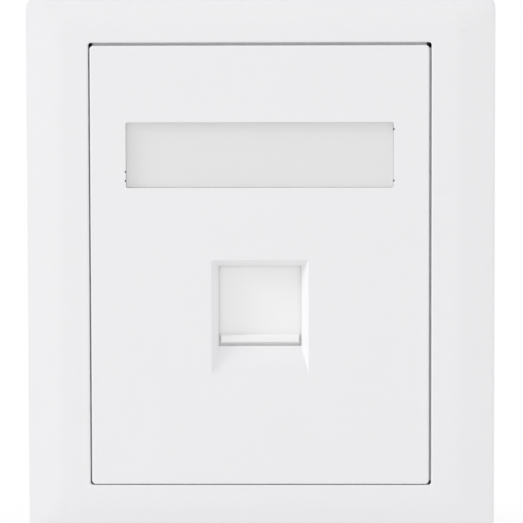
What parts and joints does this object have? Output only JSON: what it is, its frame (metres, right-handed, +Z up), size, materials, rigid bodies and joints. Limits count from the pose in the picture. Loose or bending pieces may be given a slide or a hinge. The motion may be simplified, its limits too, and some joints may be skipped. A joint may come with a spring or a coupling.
{
  "type": "keystone faceplate",
  "caption": "Rectangular wall faceplate with a framed centre panel, a clear label strip and a spring-closed sliding shutter over a keystone jack bay.",
  "frame": {"origin": "on the wall plane, midway between the two wall screws", "axes": "+X right seen from the front, +Y into the wall, +Z up; the front faces -Y"},
  "size_m": [0.0862, 0.0137, 0.1],
  "materials": {
    "frame_white": "fine satin moulded polycarbonate",
    "panel_white": "fine satin moulded polycarbonate",
    "clear_cover": "clear polished polycarbonate",
    "card": "plain uncoated card",
    "shutter_white": "smooth moulded acetal",
    "spring_steel": "bright drawn wire",
    "carrier_white": "matt moulded ABS",
    "zinc_steel": "zinc-plated steel",
    "mount_grey": "matt moulded polycarbonate"
  },
  "bodies": {
    "housing": {"trim_frame": "frame_white", "centre_panel": "panel_white", "label_window": "clear_cover", "label_card": "card", "shutter_spring_right": "spring_steel", "shutter_spring_left": "spring_steel", "jack_carrier": "carrier_white", "carrier_screw_right": "zinc_steel", "carrier_screw_left": "zinc_steel", "mounting_frame": "mount_grey"},
    "shutter": {"dust_shutter": "shutter_white"}
  },
  "joints": [
    {"name": "shutter_slide", "type": "slide", "parent": "housing", "child": "shutter", "axis": [0, 0, 1], "range_m": [0, 0.01245], "stiffness_N_per_m": 30, "springref_m": -0.005, "deforming": ["shutter_spring_right", "shutter_spring_left"]}
  ]
}
